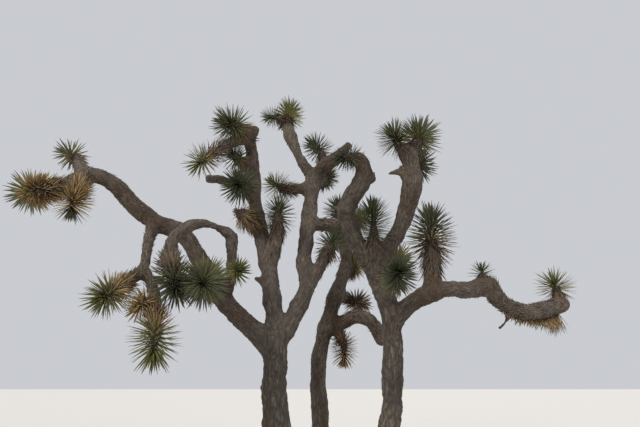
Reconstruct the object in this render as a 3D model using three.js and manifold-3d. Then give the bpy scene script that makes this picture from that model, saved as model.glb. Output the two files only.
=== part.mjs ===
// A joshua tree: three stems of one clump, forking boughs, and heads of dagger leaves at their tips.
// Millimetres, +Z up, +X to the right of the front view and +Y away from its viewer.
// The origin is the middle of the flat cut under the main stem, at ground level.

import * as THREE from 'three';
import { mergeVertices } from 'three/addons/utils/BufferGeometryUtils.js';
import Module from 'manifold-3d';

const wasm = await Module();
wasm.setup();

// Driving dimensions
const CLEARANCE = 0.3; // between pieces that touch
const SEAM = 0.001; // vertices nearer than this are one
const MAIN_FOOT = new THREE.Vector3(0, 0, 0);
const RIGHT_FOOT = new THREE.Vector3(920, 0, 0);
const BACK_FOOT = new THREE.Vector3(380, 740, 0);
const FLARE = 0.45; // widening of a stem's foot, as a share of its radius
const FLARE_HEIGHT = 240;
const BURIED = 200; // length grown below the ground before the foot is cut flat
const SWELL = 0.05; // unevenness of a limb's radius
const CORE = 0.4; // radius of a head's dense middle, as a share of its leaves' reach
const CORE_NECK = 0.6; // longest stretch over which a head widens to its core, as a share of the reach
const BARE_NECK = 0.3; // shortest stretch below that, as a share of the length up to the core
const LIVE_WIDTH = 0.25; // of a leaf at its widest, as a share of its head's reach
const DRY_WIDTH = 0.16;
const LEAF_THICKNESS = 0.08;
const LEAF_BELLY = 0.38; // place where a leaf is widest, as a share of its length
const LEAF_LENGTHS = [0.95, 1.15]; // shortest and longest leaf, as shares of the reach
const LEAF_ROOT = 0.4; // distance of a leaf's root from its stem's axis, as a share of the radius
const LEAF_TRIES = [1, 0.8, 0.62]; // lengths tried for a leaf, as shares of its full length
const LEAF_MARGIN = 3; // least room between a leaf and any other piece
const LIVE_LEAVES = 11; // on a head of usual size
const DEAD_LEAVES = 4;
const CROWN_SPREAD = 105; // degrees from the stem's own heading to the lowest live leaf
const SKIRT_SPREAD = [122, 150]; // the same for dead leaves, which point back down the stem
const DROOP = 0.35; // share of a dead leaf's heading that is straight down
const FRINGE_SPREAD = 40; // degrees either side of straight down
const FRINGE_RAKE = 0.2; // furthest that a hanging leaf leans along its bough, as a share of its drop
const FRINGE_ROOT = 0.83; // place of a hanging leaf's root, as a share of its pad's radius
const FRINGE_START = 0.2; // length of a hanging leaf where its pad starts, as a share of that at its end
const GROUND_SIZE = 20000;
const GROUND_DEPTH = 2000;

// Fineness of the solids
const GROWTH_STEPS = 24;
const RING_SPACING = 340; // along a straight limb
const RING_TURN = 24; // degrees that a bent limb turns between rings
const STEM_SIDES = 10;
const BOUGH_SIDES = 7;
const HEAD_SIDES = 5;
const DOME_RINGS = 2;
const LEAF_SIDES = 3;

const GOLDEN_ANGLE = THREE.MathUtils.degToRad(137.5);
const UP = new THREE.Vector3(0, 0, 1);

const finish = {
  bark: new THREE.MeshStandardMaterial({ color: 0x5d5148, roughness: 0.95, metalness: 0 }),
  thatch: new THREE.MeshStandardMaterial({ color: 0x6f5a40, roughness: 0.95, metalness: 0 }),
  live: new THREE.MeshStandardMaterial({ color: 0x5f6b3a, roughness: 0.6, metalness: 0 }),
  dry: new THREE.MeshStandardMaterial({ color: 0xa07a48, roughness: 0.85, metalness: 0 }),
};

// A repeatable stream of numbers from 0 to 1
function seededRandom(seed) {
  let state = seed >>> 0;
  return () => {
    state = (Math.imul(state, 1664525) + 1013904223) >>> 0;
    return state / 4294967296;
  };
}

function seedOf(name) {
  let seed = 7;
  for (const letter of name) seed = (Math.imul(seed, 31) + letter.charCodeAt(0)) >>> 0;
  return seed;
}

// A heading leans from upright towards +X, and goes back towards +Y, both in degrees
function heading(lean, back) {
  const side = THREE.MathUtils.degToRad(lean);
  const depth = THREE.MathUtils.degToRad(back);
  return new THREE.Vector3(
    Math.sin(side) * Math.cos(depth),
    Math.sin(depth),
    Math.cos(side) * Math.cos(depth),
  );
}

function between(values, position) {
  const index = Math.min(Math.floor(position), values.length - 2);
  return THREE.MathUtils.lerp(values[index], values[index + 1], position - index);
}

// Points of a line that grows in even steps, each turned a little from the one before
function grownPoints({ start, length, lean, back }) {
  const points = [start.clone()];
  for (let step = 0; step < GROWTH_STEPS; step += 1) {
    const position = ((step + 0.5) / GROWTH_STEPS) * (lean.length - 1);
    const direction = heading(between(lean, position), between(back, position));
    points.push(points.at(-1).clone().addScaledVector(direction, length / GROWTH_STEPS));
  }
  return points;
}

// The middle line of a limb, with the limb's radius along it.
// A core is a head's dense middle: it widens from its neck to its foot, and then runs on to the tip.
class Axis {
  constructor({ points, radii, flare = 0, buried = 0, core }) {
    this.points = points;
    this.radii = radii;
    this.flare = flare;
    this.buried = buried;
    this.core = core;
    this.spacing = points[0].distanceTo(points[1]);
    this.length = this.spacing * GROWTH_STEPS;
    this.tangents = points.slice(1).map((point, i) => point.clone().sub(points[i]).normalize());
    this.normals = this.carriedNormals();
    this.turn = this.tangents.slice(1).reduce((sum, tangent, i) => sum + tangent.angleTo(this.tangents[i]), 0);
  }

  // Sideways directions that turn with the axis and don't twist about it
  carriedNormals() {
    const first = this.tangents[0];
    const reference = Math.abs(first.z) > 0.9 ? new THREE.Vector3(1, 0, 0) : UP;
    let normal = reference.clone().cross(first).normalize();
    return this.tangents.map((tangent) => {
      normal = normal.clone().addScaledVector(tangent, -normal.dot(tangent)).normalize();
      return normal;
    });
  }

  // Distances before the start and past the tip carry straight on
  at(distance) {
    const step = THREE.MathUtils.clamp(Math.floor(distance / this.spacing), 0, GROWTH_STEPS - 1);
    const tangent = this.tangents[step];
    const normal = this.normals[step];
    const point = this.points[step].clone().addScaledVector(tangent, distance - step * this.spacing);
    return { point, tangent, normal, side: normal.clone().cross(tangent) };
  }

  radius(distance) {
    const share = THREE.MathUtils.clamp(distance / this.length, 0, 1);
    const plain = THREE.MathUtils.lerp(this.radii[0], this.radii[1], share);
    if (this.core && distance > this.core.neck) {
      const { neck, foot, radius } = this.core;
      return THREE.MathUtils.lerp(plain, radius, Math.min(1, (distance - neck) / (foot - neck)));
    }
    return plain * (1 + this.flare * Math.exp(-Math.max(distance, 0) / FLARE_HEIGHT));
  }

  // Distances of the rings of corners along the limb
  rings() {
    const bare = this.core ? this.core.neck : this.length;
    const straight = Math.round((bare + this.buried) / RING_SPACING);
    const bent = Math.round((bare / this.length) * THREE.MathUtils.radToDeg(this.turn) / RING_TURN);
    const count = Math.max(this.core ? 1 : 2, straight, bent);
    const places = [];
    for (let ring = 0; ring <= count; ring += 1) {
      places.push(THREE.MathUtils.lerp(-this.buried, bare, ring / count));
    }
    return this.core ? [...places, this.core.foot, this.length] : places;
  }
}

// A closed geometry as a solid that can be cut and joined
function solidOf(geometry) {
  const bare = geometry.clone();
  bare.deleteAttribute('normal');
  bare.deleteAttribute('uv');
  const merged = mergeVertices(bare, SEAM);
  const corners = merged.index.array;
  const triangles = [];
  for (let i = 0; i < corners.length; i += 3) {
    const [a, b, c] = [corners[i], corners[i + 1], corners[i + 2]];
    if (a !== b && b !== c && c !== a) triangles.push(a, b, c);
  }
  return new wasm.Manifold(new wasm.Mesh({
    numProp: 3,
    vertProperties: new Float32Array(merged.attributes.position.array),
    triVerts: new Uint32Array(triangles),
  }));
}

function geometryOf(solid) {
  const { vertProperties, triVerts } = solid.getMesh();
  const geometry = new THREE.BufferGeometry();
  geometry.setAttribute('position', new THREE.BufferAttribute(new Float32Array(vertProperties), 3));
  geometry.setIndex(new THREE.BufferAttribute(new Uint32Array(triVerts), 1));
  return geometry;
}

// A turned profile with a round end, bent along an axis
function tube(axis, sides, seed, extra) {
  const random = seededRandom(seed);
  const profile = axis.rings().map((distance) => {
    const uneven = 1 + SWELL * (2 * random() - 1);
    return new THREE.Vector2(axis.radius(distance) * uneven + extra, distance);
  });
  profile[0].y -= extra;
  profile.unshift(new THREE.Vector2(0, profile[0].y));
  const endRadius = profile.at(-1).x;
  for (let ring = 1; ring < DOME_RINGS; ring += 1) {
    const angle = (ring / DOME_RINGS) * (Math.PI / 2);
    profile.push(new THREE.Vector2(endRadius * Math.cos(angle), axis.length + endRadius * Math.sin(angle)));
  }
  profile.push(new THREE.Vector2(0, axis.length + endRadius));

  const geometry = new THREE.LatheGeometry(profile, sides);
  const position = geometry.attributes.position;
  for (let i = 0; i < position.count; i += 1) {
    const { point, normal, side } = axis.at(position.getY(i));
    point.addScaledVector(normal, position.getX(i)).addScaledVector(side, position.getZ(i));
    position.setXYZ(i, point.x, point.y, point.z);
  }
  return solidOf(geometry);
}

// The outer shell alone: scraps are dropped, and hollows that leaves seal off are filled
function outerShell(solid) {
  const pieces = solidOf(geometryOf(solid)).decompose();
  return pieces.reduce((best, piece) => (piece.volume() > best.volume() ? piece : best));
}

const ground = solidOf(
  new THREE.BoxGeometry(GROUND_SIZE, GROUND_SIZE, GROUND_DEPTH).translate(0, 0, -GROUND_DEPTH / 2),
);
const limbs = [];

// Each limb is cut clear of every limb that is there before it
function addLimb({ name, axis, trunk, sides, material, leaves }) {
  const seed = seedOf(name);
  let solid = tube(axis, sides, seed, 0);
  if (axis.buried > 0) solid = solid.subtract(ground);
  for (const other of limbs) solid = solid.subtract(other.cutter);
  const limb = { name, axis, seed, material, leaves, solid: outerShell(solid) };
  limb.cutter = tube(axis, sides, seed, CLEARANCE);
  limb.trunk = trunk ?? limb;
  limbs.push(limb);
  return limb;
}

// A stem stands on the ground
function stem(name, { foot, length, lean, back, radii }) {
  const points = grownPoints({ start: foot, length, lean, back });
  const axis = new Axis({ points, radii, flare: FLARE, buried: BURIED });
  return addLimb({ name, axis, sides: STEM_SIDES, material: finish.bark });
}

// A branch starts on its parent's axis, at a share of the parent's length
function branchAxis({ from, at = 1, length, lean, back, radii, core }) {
  const start = from.axis.at(at * from.axis.length).point;
  return new Axis({ points: grownPoints({ start, length, lean, back }), radii, core });
}

function bough(name, growth) {
  const { trunk } = growth.from;
  return addLimb({ name, axis: branchAxis(growth), trunk, sides: BOUGH_SIDES, material: finish.thatch });
}

// A head is a short branch whose tip bears live leaves, with a skirt of dead ones below them
function head(name, { reach, crown, skirt = 0, live = LIVE_LEAVES, dead = DEAD_LEAVES, dry, ...growth }) {
  const leaves = { reach, crown, skirt, live, dead };
  const material = dry ? finish.dry : finish.live;
  const foot = growth.length - crown;
  const neck = Math.max(BARE_NECK * foot, foot - CORE_NECK * reach);
  const core = { neck, foot, radius: Math.max(...growth.radii, CORE * reach) };
  const { trunk } = growth.from;
  const axis = branchAxis({ ...growth, core });
  return addLimb({ name, axis, trunk, leaves, sides: HEAD_SIDES, material });
}

// A pad of dry leaves under a bough, from one share of its length to another
function fringe(name, { under, stretch, radius, drop, reach, hanging }) {
  const [first, last] = stretch.map((share) => share * under.axis.length);
  const points = [];
  for (let step = 0; step <= GROWTH_STEPS; step += 1) {
    const distance = THREE.MathUtils.lerp(first, last, step / GROWTH_STEPS);
    points.push(under.axis.at(distance).point.addScaledVector(UP, -drop));
  }
  const axis = new Axis({ points, radii: [radius, radius] });
  const leaves = { reach, hanging };
  return addLimb({ name, axis, trunk: under.trunk, leaves, sides: HEAD_SIDES, material: finish.dry });
}

// Nearest points of two lines, as shares of their lengths, and how far apart they are
function nearest(a, b) {
  const da = a.tip.clone().sub(a.root);
  const db = b.tip.clone().sub(b.root);
  const offset = a.root.clone().sub(b.root);
  const [aa, bb, ab] = [da.dot(da), db.dot(db), da.dot(db)];
  const [ao, bo] = [da.dot(offset), db.dot(offset)];
  const clamp = (value) => THREE.MathUtils.clamp(value, 0, 1);
  const spread = aa * bb - ab * ab;
  let s = spread > 1e-6 ? clamp((ab * bo - ao * bb) / spread) : 0;
  const t = clamp((ab * s + bo) / bb);
  s = clamp((ab * t - ao) / aa);
  const gap = a.root.clone().addScaledVector(da, s).distanceTo(b.root.clone().addScaledVector(db, t));
  return { s, t, gap };
}

// Each limb's axis as short straight rods, for the test of what a leaf would touch
function rodsOf(limb) {
  const { points, spacing } = limb.axis;
  const rods = [];
  for (let step = 0; step < GROWTH_STEPS; step += 2) {
    const radius = limb.axis.radius(step * spacing) * (1 + SWELL);
    rods.push({ root: points[step], tip: points[step + 2], radius });
  }
  return rods;
}

const placedLeaves = [];

const halfWidth = (leaf, share) => (leaf.width / 2) * Math.min(1, (1 - share) / (1 - LEAF_BELLY));

function isClear(leaf, owner) {
  for (const limb of limbs) {
    if (limb === owner) continue;
    for (const rod of limb.rods) {
      const { s, gap } = nearest(leaf, rod);
      if (gap < rod.radius + halfWidth(leaf, s) + LEAF_MARGIN) return false;
    }
  }
  for (const other of placedLeaves) {
    if (other.owner === owner) continue;
    const { s, t, gap } = nearest(leaf, other);
    if (gap < halfWidth(leaf, s) + halfWidth(other, t) + LEAF_MARGIN) return false;
  }
  return Math.min(leaf.root.z, leaf.tip.z) > halfWidth(leaf, 0);
}

// A dagger: a flat three-sided lance, with its broad side towards the tip of its stem
function leafSolid({ root, tip, inward, width, thickness }) {
  const line = tip.clone().sub(root);
  const length = line.length();
  const broad = inward.clone().cross(line).normalize();
  const thin = broad.clone().cross(line).normalize();
  const outline = [
    new THREE.Vector2(0, 0),
    new THREE.Vector2(1, LEAF_BELLY * length),
    new THREE.Vector2(0, length),
  ];
  const lance = new THREE.LatheGeometry(outline, LEAF_SIDES);
  lance.scale(width / Math.sqrt(3), 1, thickness / 1.5); // of a triangle in a circle of radius 1
  lance.applyMatrix4(new THREE.Matrix4().makeBasis(broad, line.normalize(), thin).setPosition(root));
  return solidOf(lance);
}

// The aims of a head's leaves: where each is rooted, and its heading
function crownAims({ axis, leaves }, random) {
  const aims = [];
  const turn = random() * Math.PI * 2;
  const total = leaves.live + leaves.dead;
  for (let i = 0; i < total; i += 1) {
    const dead = i >= leaves.live;
    const share = dead ? (i - leaves.live + 0.5) / leaves.dead : i / (leaves.live - 1);
    const distance = axis.length - (dead ? leaves.crown + leaves.skirt * share : leaves.crown * share);
    const { point, tangent, normal, side } = axis.at(distance);
    const around = turn + i * GOLDEN_ANGLE;
    const outward = normal.clone().multiplyScalar(Math.cos(around)).addScaledVector(side, Math.sin(around));
    const degrees = dead
      ? THREE.MathUtils.lerp(SKIRT_SPREAD[0], SKIRT_SPREAD[1], random())
      : CROWN_SPREAD * Math.sqrt((i + 0.5) / leaves.live);
    const spread = THREE.MathUtils.degToRad(degrees);
    const direction = tangent.clone().multiplyScalar(Math.cos(spread)).addScaledVector(outward, Math.sin(spread));
    if (dead) direction.addScaledVector(UP, -DROOP).normalize();
    const root = point.addScaledVector(outward, LEAF_ROOT * axis.radius(distance));
    aims.push({ root, direction, inward: tangent, scale: 1, broad: dead ? DRY_WIDTH : LIVE_WIDTH });
  }
  return aims;
}

function fringeAims({ axis, leaves }, random) {
  const aims = [];
  for (let i = 0; i < leaves.hanging; i += 1) {
    const share = (i + 0.5) / leaves.hanging;
    const { point, tangent } = axis.at(share * axis.length);
    const degrees = FRINGE_SPREAD * (2 * random() - 1);
    const direction = UP.clone().negate().applyAxisAngle(tangent, THREE.MathUtils.degToRad(degrees));
    direction.addScaledVector(tangent, FRINGE_RAKE * (2 * random() - 1)).normalize();
    const root = point.addScaledVector(direction, FRINGE_ROOT * axis.radii[0]);
    const scale = THREE.MathUtils.lerp(FRINGE_START, 1, share);
    aims.push({ root, direction, inward: tangent, scale, broad: DRY_WIDTH });
  }
  return aims;
}

// Leaves are fused on one by one; one that can't be made clear by being shorter is left out
function addLeaves(limb) {
  const random = seededRandom(limb.seed + 1);
  const aims = limb.leaves.hanging ? fringeAims(limb, random) : crownAims(limb, random);
  const { reach } = limb.leaves;
  for (const { root, direction, inward, scale, broad } of aims) {
    const full = scale * reach * THREE.MathUtils.lerp(LEAF_LENGTHS[0], LEAF_LENGTHS[1], random());
    for (const shorter of LEAF_TRIES) {
      const tip = root.clone().addScaledVector(direction, full * shorter);
      const width = reach * broad;
      const leaf = { root, tip, inward, width, thickness: reach * LEAF_THICKNESS, owner: limb };
      if (!isClear(leaf, limb)) continue;
      placedLeaves.push(leaf);
      limb.solid = limb.solid.add(leafSolid(leaf));
      break;
    }
  }
  limb.solid = outerShell(limb.solid);
}

// Main stem and its left bough
const leftStem = stem('left_stem', {
  foot: MAIN_FOOT, length: 1940, radii: [165, 155], lean: [-20, -10, -5, 5], back: [0, 0, 0, 0],
});
const leftBough = bough('left_bough', {
  from: leftStem, at: 0.9, length: 970, radii: [145, 120], lean: [-40, -50, -40], back: [0, -20, -25],
});
const leftDiagonal = bough('left_diagonal', {
  from: leftBough, length: 1060, radii: [122, 105], lean: [-30, -35, -40], back: [0, -5, -5],
});
const farLeftBough = bough('far_left_bough', {
  from: leftDiagonal, length: 1370, radii: [115, 95], lean: [-80, -55, -40, -100], back: [0, -20, -25, -25],
});
const hangingLeft = bough('hanging_left_bough', {
  from: farLeftBough, at: 0.25, length: 870, radii: [60, 55], lean: [180, 165, 170], back: [-25, -35, -20],
});
const uprightLeft = bough('upright_left_bough', {
  from: leftBough, at: 0.95, length: 810, radii: [75, 65], lean: [20, 0, 0], back: [-15, -10, -15],
});
const archBough = bough('arch_bough', {
  from: uprightLeft, length: 1070, radii: [54, 76], lean: [-45, -95, -145, -190], back: [-30, -45, -30, -15],
});

// Boughs up the middle
const centreBough = bough('centre_bough', {
  from: leftStem, at: 0.95, length: 1420, radii: [120, 125], lean: [-5, -10, -15], back: [5, 20, 20],
});
const centreTall = bough('centre_tall_bough', {
  from: centreBough, length: 2010, radii: [118, 90], lean: [-15, -15, 0, -5], back: [20, 5, -20, -65],
});
bough('dead_stub', {
  from: centreTall, at: 0.54, length: 700, radii: [74, 54], lean: [-70, -100], back: [-20, -25],
});
const rightCentreBough = bough('right_centre_bough', {
  from: leftStem, at: 0.95, length: 1000, radii: [120, 130], lean: [35, 25, 15], back: [5, 25, 25],
});
const knotBough = bough('knot_bough', {
  from: rightCentreBough, length: 2180, radii: [108, 128], lean: [-15, 5, 5, 0], back: [20, 25, 20, 10],
});
const leftMast = bough('left_mast_bough', {
  from: knotBough, length: 1380, radii: [90, 108], lean: [-35, -20, -15], back: [5, 20, 10],
});
bough('blunt_bough', {
  from: knotBough, at: 0.98, length: 830, radii: [145, 76], lean: [48, 60], back: [-15, -30],
});

// Right stem
const rightStem = stem('right_stem', {
  foot: RIGHT_FOOT, length: 2900, radii: [120, 138], lean: [15, 10, 0, -25], back: [0, 0, 0, 0],
});
const rightInnerLower = bough('right_inner_bough', {
  from: rightStem, length: 820, radii: [112, 120], lean: [-40, -30, -15], back: [-15, -20, -30],
});
const rightInnerUpper = bough('right_inner_tip_bough', {
  from: rightInnerLower, length: 765, radii: [135, 112], lean: [10, 42, 20, -50], back: [-20, -30, -20, -20],
});
const rightOuter = bough('right_outer_bough', {
  from: rightStem, length: 1640, radii: [120, 118], lean: [45, 32, 8, -20], back: [-15, -30, -40, -15],
});
const rightBough = bough('right_bough', {
  from: rightStem, at: 0.7, length: 1750, radii: [115, 115], lean: [20, 65, 90, 65], back: [-20, -5, 30, 25],
});
const rightHook = bough('right_hook_bough', {
  from: rightBough, length: 1750, radii: [120, 122], lean: [145, 105, 78, 76], back: [35, 35, 25, 20],
});

// Thinner stem behind the other two
const backStem = stem('back_stem', {
  foot: BACK_FOOT, length: 3240, radii: [110, 120], lean: [-5, -5, 15, 25], back: [15, 5, 10, 30],
});
bough('back_arch_bough', {
  from: backStem, at: 0.7, length: 1020, radii: [112, 95], lean: [105, 62, 125, 160], back: [-5, -25, 20, 15],
});

// Heads of the left bough
head('far_left_head', {
  from: farLeftBough, length: 870, radii: [97, 75], lean: [-160, -94, -80], back: [-30, 5, 42],
  reach: 260, crown: 130, skirt: 400, dead: 10,
});
head('far_left_drop_head', {
  from: farLeftBough, length: 500, radii: [95, 70], lean: [-178, -172, -176], back: [-22, -10, 10],
  reach: 215, crown: 110, skirt: 260, dead: 9,
});
head('far_left_top_head', {
  from: farLeftBough, length: 530, radii: [70, 50], lean: [-40, -40, -60], back: [10, 15, 10],
  reach: 205, crown: 110, skirt: 120,
});
head('low_left_head', {
  from: hangingLeft, at: 0.95, length: 620, radii: [75, 60], lean: [-165, -147, -155], back: [-45, -35, -50],
  reach: 220, crown: 130, skirt: 200,
});
const lowDropHead = head('low_drop_head', {
  from: hangingLeft, length: 1030, radii: [70, 60], lean: [140, 165, 170], back: [-5, -20, -20],
  reach: 250, crown: 260, skirt: 260,
});
head('low_brown_head', {
  from: lowDropHead, at: 0.35, length: 230, radii: [40, 35], lean: [-155, -140], back: [-50, -40],
  reach: 190, crown: 120, live: 10, dead: 0, dry: true,
});
head('front_head', {
  from: leftDiagonal, at: 0.3, length: 1060, radii: [75, 60], lean: [150, 145, 145], back: [-75, -70, -70],
  reach: 270, crown: 230, skirt: 200, live: 14,
});
head('arch_head', {
  from: archBough, length: 580, radii: [95, 80], lean: [158, 152], back: [-35, -20],
  reach: 235, crown: 160, skirt: 300,
});
head('upright_side_head', {
  from: uprightLeft, at: 0.35, length: 250, radii: [45, 35], lean: [80, 45], back: [-60, -45],
  reach: 180, crown: 90, live: 10, dead: 0,
});
head('rear_left_head', {
  from: leftDiagonal, at: 0.3, length: 1660, radii: [75, 75], lean: [-35, -55, -105], back: [65, 70, 75],
  reach: 285, crown: 160, skirt: 250,
});

// Heads of the middle boughs
head('top_left_head', {
  from: centreTall, at: 0.95, length: 450, radii: [90, 75], lean: [-70, -95], back: [-60, -45],
  reach: 290, crown: 150, skirt: 150, live: 14,
});
head('top_left_low_head', {
  from: centreTall, at: 0.95, length: 970, radii: [92, 60], lean: [-118, -138, -145], back: [-40, -15, -20],
  reach: 240, crown: 130, skirt: 330, dead: 7,
});
head('tall_left_head', {
  from: centreTall, at: 0.7, length: 460, radii: [70, 60], lean: [-95, -55], back: [-55, -50],
  reach: 235, crown: 120, skirt: 130,
});
head('tall_front_head', {
  from: centreTall, at: 0.48, length: 570, radii: [80, 70], lean: [-70, -135], back: [-70, -75],
  reach: 280, crown: 150, skirt: 120, live: 14,
});
head('brown_head', {
  from: centreTall, at: 0.15, length: 530, radii: [110, 90], lean: [-30, -75], back: [-25, -45],
  reach: 250, crown: 60, skirt: 300, live: 6, dead: 12, dry: true,
});
head('centre_head', {
  from: knotBough, at: 0.9, length: 680, radii: [100, 80], lean: [-105, -105, -55], back: [-5, -15, -25],
  reach: 240, crown: 130, skirt: 240, dead: 6,
});
head('centre_side_head', {
  from: centreBough, at: 0.8, length: 910, radii: [110, 85], lean: [20, 5, 0], back: [-5, 0, 0],
  reach: 245, crown: 200, skirt: 260, dead: 6,
});
head('mast_head', {
  from: leftMast, length: 380, radii: [105, 85], lean: [15, 0], back: [10, 10],
  reach: 285, crown: 260, skirt: 120, live: 14,
});
head('mast_side_head', {
  from: leftMast, length: 360, radii: [65, 55], lean: [-30, -115], back: [-20, -20],
  reach: 220, crown: 110, skirt: 60, live: 12, dead: 3,
});
head('knot_top_head', {
  from: knotBough, length: 800, radii: [80, 78], lean: [52, -48], back: [10, 10],
  reach: 255, crown: 200, skirt: 260,
});
head('knot_side_head', {
  from: knotBough, at: 0.9, length: 600, radii: [120, 105], lean: [50, 20], back: [35, 40],
  reach: 215, crown: 220, skirt: 150,
});
head('rear_centre_head', {
  from: knotBough, at: 0.53, length: 1300, radii: [105, 85], lean: [92, 70, 30], back: [20, 40, 50],
  reach: 250, crown: 160, skirt: 240,
});
head('slit_head', {
  from: rightCentreBough, length: 960, radii: [95, 85], lean: [30, 25, 25], back: [25, 25, 25],
  reach: 240, crown: 180, skirt: 240,
});

// Heads of the right stem
head('inner_tip_head', {
  from: rightInnerUpper, length: 250, radii: [75, 60], lean: [-75, -100, -125], back: [-35, -25, -15],
  reach: 170, crown: 190, skirt: 60, live: 15, dead: 3,
});
head('fork_head', {
  from: rightStem, length: 760, radii: [75, 65], lean: [3, -3], back: [-40, -5],
  reach: 270, crown: 380, skirt: 120, live: 16,
});
head('trunk_side_head', {
  from: rightStem, at: 0.85, length: 830, radii: [65, 55], lean: [45, 25, 0], back: [-85, -80, -65],
  reach: 240, crown: 170, skirt: 200, live: 14,
});
head('rear_right_head', {
  from: rightStem, at: 0.9, length: 1680, radii: [85, 80], lean: [40, 35, 30], back: [65, 55, 55],
  reach: 285, crown: 160, skirt: 250,
});
head('outer_left_head', {
  from: rightOuter, at: 0.95, length: 360, radii: [65, 62], lean: [-35, -35], back: [-10, -25],
  reach: 265, crown: 110, skirt: 80, live: 14,
});
head('outer_right_head', {
  from: rightOuter, at: 0.95, length: 440, radii: [70, 66], lean: [25, 20], back: [5, 10],
  reach: 290, crown: 150, skirt: 110, live: 14,
});
head('outer_back_head', {
  from: rightOuter, at: 0.75, length: 700, radii: [65, 65], lean: [25, 20], back: [35, 25],
  reach: 245, crown: 260, skirt: 200,
});
head('tall_right_head', {
  from: rightBough, at: 0.4, length: 1120, radii: [110, 85], lean: [20, 5, 5], back: [10, 15, 5],
  reach: 330, crown: 420, skirt: 420, live: 16, dead: 7,
});
head('bend_head', {
  from: rightBough, at: 0.9, length: 240, radii: [50, 40], lean: [20, 5], back: [5, 0],
  reach: 175, crown: 85, live: 12, dead: 0,
});
head('hook_head', {
  from: rightHook, length: 340, radii: [80, 70], lean: [-8, -4], back: [-10, 10],
  reach: 300, crown: 110, skirt: 60, live: 14,
});
fringe('hook_fringe', {
  under: rightHook, stretch: [0.15, 0.96], radius: 70, drop: 105, reach: 420, hanging: 24,
});

// Heads of the stem behind
head('back_top_head', {
  from: backStem, length: 1450, radii: [110, 95], lean: [10, -10, -5], back: [20, 20, 10],
  reach: 280, crown: 220, skirt: 420, dead: 7,
});
head('back_right_head', {
  from: backStem, at: 0.95, length: 560, radii: [90, 80], lean: [45, 15], back: [30, 40],
  reach: 250, crown: 170, skirt: 200,
});
head('back_low_head', {
  from: backStem, at: 0.85, length: 500, radii: [70, 62], lean: [100, 105], back: [25, 35],
  reach: 215, crown: 140, skirt: 160, live: 12, dry: true,
});
head('back_drop_head', {
  from: backStem, at: 0.7, length: 630, radii: [75, 58], lean: [120, 190], back: [-20, 0],
  reach: 200, crown: 240, skirt: 120, live: 14, dry: true,
});

for (const limb of limbs) limb.rods = rodsOf(limb);
for (const limb of limbs) if (limb.leaves) addLeaves(limb);

// Each stem's group stands at its own foot, and each limb's mesh sits at the limb's own root
const clump = new THREE.Group();
for (const trunk of [leftStem, rightStem, backStem]) {
  const group = new THREE.Group();
  const foot = trunk.axis.points[0];
  group.position.copy(foot);
  for (const limb of limbs.filter((each) => each.trunk === trunk)) {
    const root = limb.axis.points[0];
    const geometry = geometryOf(limb.solid).translate(-root.x, -root.y, -root.z);
    geometry.computeVertexNormals();
    const mesh = new THREE.Mesh(geometry, limb.material);
    mesh.name = limb.name;
    mesh.position.copy(root).sub(foot);
    group.add(mesh);
  }
  clump.add(group);
}

export default clump;
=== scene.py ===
# A joshua tree: furrowed stems, shaggy forking limbs, skirts of dry leaves and rosettes of daggers.
# Metres, in the frame of the CAD model: +Z up, +X to the right of the photograph's view, +Y away
# from its viewer, and the origin in the flat cut under the main stem.

import math

import bmesh
import bpy
import numpy as np
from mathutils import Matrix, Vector, noise


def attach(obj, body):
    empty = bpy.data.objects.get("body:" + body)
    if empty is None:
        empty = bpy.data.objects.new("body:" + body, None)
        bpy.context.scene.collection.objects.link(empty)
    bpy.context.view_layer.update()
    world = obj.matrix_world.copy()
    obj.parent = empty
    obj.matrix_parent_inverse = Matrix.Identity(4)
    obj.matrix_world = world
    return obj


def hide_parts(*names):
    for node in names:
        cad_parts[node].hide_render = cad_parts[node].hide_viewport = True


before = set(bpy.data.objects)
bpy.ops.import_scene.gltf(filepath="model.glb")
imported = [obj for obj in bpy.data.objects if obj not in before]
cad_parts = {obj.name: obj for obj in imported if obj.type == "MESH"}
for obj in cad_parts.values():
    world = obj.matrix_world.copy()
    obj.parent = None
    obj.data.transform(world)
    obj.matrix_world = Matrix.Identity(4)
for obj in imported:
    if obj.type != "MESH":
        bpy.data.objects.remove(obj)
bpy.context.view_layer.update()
ROOT = "root"

# Camera, at the photograph's place and angle
CAMERA_PLACE = (0.3, -5.6, 1.5)
CAMERA_TILT = 20.5  # degrees above the horizon
CAMERA_LENS = 24  # mm, on a sensor 36 mm wide

# The growth rule of the solids, with spreads in degrees from the limb's direction
FLARE = 0.45  # widening of a stem at its foot
FLARE_HEIGHT = 0.24
BURIED = 0.2  # length of stem made below the ground, and cut off
GROWTH_STEPS = 24
GOLDEN_ANGLE = math.radians(137.5)
CROWN_SPREAD = 105
CROWN_TAPER = 0.62  # narrowing of a head's stalk inside its crown
SKIRT_SPREAD = (104, 152)
DROOP = 0.35  # most that a dead leaf hangs from its line
LEAF_LENGTHS = (0.85, 1.12)  # shares of the reach
FRINGE_SPREAD = 40
FRINGE_START = 0.2  # reach of the first hanging leaves, as a share

# What a head bears, where its own entry doesn't say otherwise
HEAD_LEAVES = {
    "live": 11,  # number in the solids
    "dead": 4,
    "skirt": 0,  # length of limb that the dead leaves cover
    "dry": False,
    "thatch": 1,  # share of its bark that short dead leaves hide
    "full": 1,  # shares of the usual numbers of live and of dead leaves
    "skirted": 1,
    "fresh": 2,  # share of the crown beyond which its leaves are withered
    "aged": 1.7,  # tint of the dead leaves, from 0 for golden to 3 for grey
    "blunt": 1,  # length of the crown's leaves, as a share of the usual one
}
GREENS = 3  # tints that live leaves start from
LAST_TINT = 3

# How much finer the leaves are than in the solids
LIVE_SPRAY = 11  # leaves for one of the solids'
DEAD_SPRAY = 30
FRINGE_SPRAY = 14

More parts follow.
